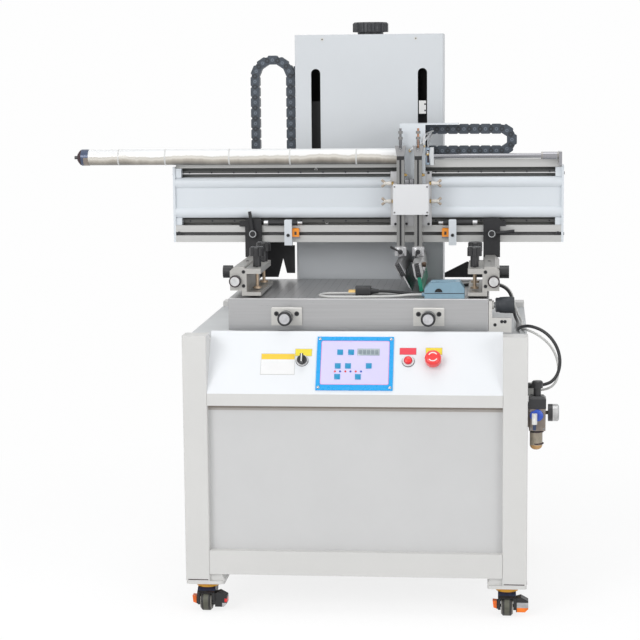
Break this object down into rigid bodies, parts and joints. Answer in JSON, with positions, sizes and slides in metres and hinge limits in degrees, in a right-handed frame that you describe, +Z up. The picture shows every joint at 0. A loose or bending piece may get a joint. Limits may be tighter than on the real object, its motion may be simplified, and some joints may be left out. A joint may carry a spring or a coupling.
{
  "type": "flatbed screen printing machine",
  "caption": "Flatbed screen printer: cabinet on casters, steel worktable, tower and a rising head with a squeegee carriage and screen clamps.",
  "frame": {"origin": "on the floor under the middle of the cabinet", "axes": "+X to the operator's right, +Y to the back, +Z up"},
  "size_m": [1.301, 0.753, 1.4613],
  "materials": {
    "white_paint": "satin",
    "grey_paint": "satin",
    "console_white": "satin",
    "table_steel": "brushed",
    "aluminium": "satin",
    "anodised": "satin",
    "chrome": "polished",
    "black_paint": "satin",
    "chain_plastic": "matte",
    "black_plastic": "matte",
    "blue_panel": "gloss",
    "red_plastic": "gloss",
    "caster_yellow": "gloss",
    "caster_tread": "matte",
    "sensor_orange": "gloss",
    "blade_green": "satin",
    "switch_blue": "satin",
    "cord_grey": "satin",
    "cord_black": "satin",
    "film_wrap": "gloss"
  },
  "bodies": {
    "cabinet": {"corner_posts": "white_paint", "frame_rails": "white_paint", "cabinet_panels": "grey_paint", "console": "console_white", "deck": "white_paint", "control_panel": "blue_panel", "device_bezels": "chrome", "swivel_rings": "caster_yellow", "tower": "white_paint", "guide_shafts": "chrome", "tower_chain": "chain_plastic", "air_unit": "black_plastic", "foot_switch": "switch_blue", "switch_cable": "cord_grey", "plug": "black_plastic", "plug_cable": "cord_black"},
    "saddle": {"table_saddle": "grey_paint"},
    "table": {"worktable": "table_steel", "adjuster_brackets": "console_white"},
    "adjuster_left": {"adjuster_knob_left": "aluminium"},
    "adjuster_right": {"adjuster_knob_right": "aluminium"},
    "adjuster_side": {"adjuster_knob_side": "black_plastic"},
    "selector": {"selector": "black_plastic"},
    "start_button": {"start_button": "red_plastic"},
    "stop_button": {"stop_button": "red_plastic"},
    "handwheel": {"tower_handwheel": "black_plastic"},
    "head": {"head_backbone": "grey_paint", "beam_profiles": "aluminium", "beam_cover": "console_white", "carriage_rails": "chrome", "head_plates": "console_white", "lift_carrier": "anodised", "stop_sensors": "sensor_orange", "stop_dampers": "black_paint", "cylinder_rod": "chrome"},
    "carriage": {"carriage_plate": "anodised", "guide_housing": "console_white", "carriage_cover": "console_white", "cylinder_tube": "film_wrap", "carriage_chain": "chain_plastic"},
    "flood_bar": {"flood_column": "aluminium", "flood_holder": "aluminium", "flood_blade": "chrome"},
    "squeegee": {"squeegee_column": "aluminium", "squeegee_holder": "aluminium", "squeegee_blade": "blade_green"},
    "left_arm": {"arm_upright_left": "black_paint", "clamp_rail_left": "aluminium", "clamp_screws_left": "black_plastic"},
    "right_arm": {"arm_upright_right": "black_paint", "clamp_rail_right": "aluminium", "clamp_screws_right": "black_plastic"},
    "caster_front_left": {"caster_fork_front_left": "black_plastic"},
    "wheel_front_left": {"caster_wheel_front_left": "caster_tread"},
    "caster_front_right": {"caster_fork_front_right": "black_plastic"},
    "wheel_front_right": {"caster_wheel_front_right": "caster_tread"},
    "caster_rear_left": {"caster_fork_rear_left": "black_plastic"},
    "wheel_rear_left": {"caster_wheel_rear_left": "caster_tread"},
    "caster_rear_right": {"caster_fork_rear_right": "black_plastic"},
    "wheel_rear_right": {"caster_wheel_rear_right": "caster_tread"}
  },
  "joints": [
    {"name": "head_lift", "type": "slide", "parent": "cabinet", "child": "head", "axis": [0, 0, 1], "range_m": [0, 0.08]},
    {"name": "carriage_stroke", "type": "slide", "parent": "head", "child": "carriage", "axis": [1, 0, 0], "range_m": [-0.231, 0.013]},
    {"name": "flood_bar_lift", "type": "slide", "parent": "carriage", "child": "flood_bar", "axis": [0, 0, 1], "range_m": [0, 0.025]},
    {"name": "squeegee_lift", "type": "slide", "parent": "carriage", "child": "squeegee", "axis": [0, 0, 1], "range_m": [0, 0.025]},
    {"name": "left_arm_slide", "type": "slide", "parent": "head", "child": "left_arm", "axis": [-1, 0, 0], "range_m": [0, 0.12]},
    {"name": "right_arm_slide", "type": "slide", "parent": "head", "child": "right_arm", "axis": [1, 0, 0], "range_m": [0, 0.12]},
    {"name": "table_shift_y", "type": "slide", "parent": "cabinet", "child": "saddle", "axis": [0, 1, 0], "range_m": [-0.006, 0.006]},
    {"name": "table_shift_x", "type": "slide", "parent": "saddle", "child": "table", "axis": [1, 0, 0], "range_m": [-0.006, 0.006]},
    {"name": "left_adjuster_turn", "type": "hinge", "parent": "table", "child": "adjuster_left", "pos_m": [-0.177, -0.265, 0.724], "axis": [0, 1, 0], "continuous": true},
    {"name": "right_adjuster_turn", "type": "hinge", "parent": "table", "child": "adjuster_right", "pos_m": [0.177, -0.265, 0.724], "axis": [0, 1, 0], "continuous": true},
    {"name": "side_adjuster_turn", "type": "hinge", "parent": "table", "child": "adjuster_side", "pos_m": [0.36, -0.21, 0.751], "axis": [1, 0, 0], "continuous": true},
    {"name": "handwheel_turn", "type": "hinge", "parent": "cabinet", "child": "handwheel", "pos_m": [0, 0.3, 1.44], "axis": [0, 0, 1], "continuous": true},
    {"name": "selector_turn", "type": "hinge", "parent": "cabinet", "child": "selector", "pos_m": [-0.13, -0.32773, 0.62641], "axis": [0, -0.8473, 0.5311], "range_deg": [0, 90]},
    {"name": "start_press", "type": "slide", "parent": "cabinet", "child": "start_button", "axis": [0, 0.8473, -0.5311], "range_m": [0, 0.004], "stiffness_N_per_m": 400, "springref_m": -0.004},
    {"name": "stop_press", "type": "slide", "parent": "cabinet", "child": "stop_button", "axis": [0, 0.8473, -0.5311], "range_m": [0, 0.005], "stiffness_N_per_m": 400, "springref_m": -0.004},
    {"name": "front_left_swivel", "type": "hinge", "parent": "cabinet", "child": "caster_front_left", "pos_m": [-0.372, -0.327, 0.06], "axis": [0, 0, 1], "continuous": true},
    {"name": "front_left_roll", "type": "hinge", "parent": "caster_front_left", "child": "wheel_front_left", "pos_m": [-0.372, -0.351, 0.025], "axis": [1, 0, 0], "continuous": true},
    {"name": "front_right_swivel", "type": "hinge", "parent": "cabinet", "child": "caster_front_right", "pos_m": [0.372, -0.327, 0.06], "axis": [0, 0, 1], "continuous": true},
    {"name": "front_right_roll", "type": "hinge", "parent": "caster_front_right", "child": "wheel_front_right", "pos_m": [0.372, -0.351, 0.025], "axis": [1, 0, 0], "continuous": true},
    {"name": "rear_left_swivel", "type": "hinge", "parent": "cabinet", "child": "caster_rear_left", "pos_m": [-0.372, 0.327, 0.06], "axis": [0, 0, 1], "continuous": true},
    {"name": "rear_left_roll", "type": "hinge", "parent": "caster_rear_left", "child": "wheel_rear_left", "pos_m": [-0.372, 0.303, 0.025], "axis": [1, 0, 0], "continuous": true},
    {"name": "rear_right_swivel", "type": "hinge", "parent": "cabinet", "child": "caster_rear_right", "pos_m": [0.372, 0.327, 0.06], "axis": [0, 0, 1], "continuous": true},
    {"name": "rear_right_roll", "type": "hinge", "parent": "caster_rear_right", "child": "wheel_rear_right", "pos_m": [0.372, 0.303, 0.025], "axis": [1, 0, 0], "continuous": true}
  ]
}
